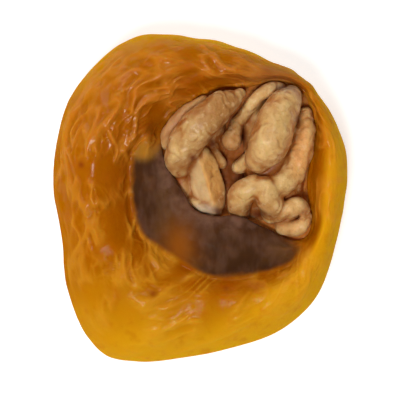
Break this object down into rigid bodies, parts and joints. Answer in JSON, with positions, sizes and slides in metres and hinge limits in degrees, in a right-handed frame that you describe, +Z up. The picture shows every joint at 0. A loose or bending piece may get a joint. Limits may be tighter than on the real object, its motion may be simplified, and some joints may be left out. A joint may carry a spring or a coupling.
{
  "type": "dried apricot",
  "caption": "Dried apricot opened into a pocket and filled with walnut kernel pieces, one edge of the fruit folded in as a dark lip; lies flat on its skin.",
  "frame": {"origin": "on the surface that the fruit rests on, under the middle of its outline seen from above", "axes": "+Z up, out of the pocket's mouth; +Y along the fruit's length, away from the folded dark lip; +X across its width"},
  "size_m": [0.0404, 0.045, 0.0182],
  "materials": {
    "apricot_flesh": "satin",
    "walnut_kernel_left": "satin",
    "walnut_kernel_right": "satin"
  },
  "bodies": {
    "root": {"dried_apricot": "apricot_flesh", "walnut_piece_left": "walnut_kernel_left", "walnut_piece_right": "walnut_kernel_right"}
  },
  "joints": []
}
